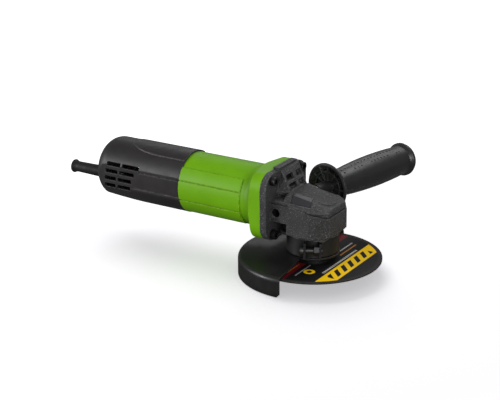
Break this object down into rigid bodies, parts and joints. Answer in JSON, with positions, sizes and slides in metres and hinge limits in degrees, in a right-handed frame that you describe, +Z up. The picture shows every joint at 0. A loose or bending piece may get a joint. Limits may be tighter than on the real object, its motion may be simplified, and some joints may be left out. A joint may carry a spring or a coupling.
{
  "type": "angle grinder",
  "caption": "Corded angle grinder with a bevel gear head, cutting disc, half guard, screw-in side handle and slide switch.",
  "frame": {"origin": "where the motor axis crosses the spindle axis, inside the gear head", "axes": "+X along the motor axis to the nose of the gear head, +Y to the fitted side handle, +Z up; the disc lies below, square to Z"},
  "size_m": [0.333, 0.2384, 0.0967],
  "materials": {
    "green_shell": "satin, slightly grained",
    "black_shell": "satin, slightly grained",
    "cast_head": "speckled dark grey powder coat",
    "guard_steel": "glossy black",
    "bright_steel": "zinc plated",
    "dark_screw": "black oxide",
    "turned_steel": "turned and ground",
    "flange_steel": "turned",
    "bearing_steel": "polished",
    "bush_bronze": "sintered bronze",
    "seal_rubber": "matt",
    "lamination": "stacked sheet",
    "copper": "enamelled copper wire",
    "brush_brass": "stamped sheet",
    "spring_steel": "wire",
    "carbon": "pressed carbon",
    "white_nylon": "moulded",
    "inner_plastic": "moulded",
    "capacitor_case": "moulded",
    "lock_plastic": "smooth",
    "disc_resin": "bonded abrasive with a paper label",
    "grip_plastic": "satin with small dimples"
  },
  "bodies": {
    "housing": {"motor_housing": "green_shell", "rear_housing": "black_shell", "gear_housing": "cast_head", "spindle_cover": "cast_head", "spindle_bearing_outer": "bearing_steel", "spindle_bush": "bush_bronze", "spindle_seal": "seal_rubber", "front_bearing_outer": "bearing_steel", "rear_bearing_outer": "bearing_steel", "bearing_sleeve": "seal_rubber", "bearing_retainer": "turned_steel", "stator_core": "lamination", "field_coils": "copper", "air_baffle": "inner_plastic", "brush_holders": "brush_brass", "carbon_brushes": "carbon", "brush_springs": "spring_steel", "lock_spring": "spring_steel", "switch_module": "inner_plastic", "capacitor": "capacitor_case", "side_handle": "grip_plastic", "handle_stud": "turned_steel", "cable_boot": "seal_rubber", "cable_clamp": "black_shell", "head_screws": "dark_screw", "cover_screws": "dark_screw", "retainer_screws": "bright_steel", "clamp_plate_screws": "bright_steel", "rear_screws": "bright_steel"},
    "rotor": {"armature_shaft": "turned_steel", "armature_core": "lamination", "armature_windings": "copper", "commutator": "copper", "cooling_fan": "white_nylon", "pinion": "turned_steel", "pinion_nut": "bright_steel", "front_bearing_inner": "bearing_steel", "rear_bearing_inner": "bearing_steel"},
    "spindle_set": {"spindle": "turned_steel", "crown_gear": "turned_steel", "spindle_bearing_inner": "bearing_steel", "inner_flange": "flange_steel", "cutting_disc": "disc_resin", "lock_nut": "flange_steel"},
    "guard_set": {"wheel_guard": "guard_steel", "guard_clamp": "guard_steel", "clamp_screw": "bright_steel", "clamp_nut": "bright_steel"},
    "lock": {"lock_button": "lock_plastic"},
    "switch": {"slide_button": "black_shell", "switch_rod": "inner_plastic"}
  },
  "joints": [
    {"name": "armature_spin", "type": "hinge", "parent": "housing", "child": "rotor", "pos_m": [0, 0, 0], "axis": [1, 0, 0], "continuous": true},
    {"name": "spindle_spin", "type": "hinge", "parent": "housing", "child": "spindle_set", "pos_m": [0, 0, 0], "axis": [0, 0, 1], "continuous": true},
    {"name": "guard_turn", "type": "hinge", "parent": "housing", "child": "guard_set", "pos_m": [0, 0, 0], "axis": [0, 0, 1], "range_deg": [-60, 90]},
    {"name": "lock_press", "type": "slide", "parent": "housing", "child": "lock", "axis": [0, 0, -1], "range_m": [0, 0.0032], "stiffness_N_per_m": 800, "springref_m": -0.002, "deforming": ["lock_spring"]},
    {"name": "switch_slide", "type": "slide", "parent": "housing", "child": "switch", "axis": [1, 0, 0], "range_m": [0, 0.008]}
  ],
  "couplings": [
    {"joint": "spindle_spin", "follows": "armature_spin", "ratio": -0.28947}
  ]
}
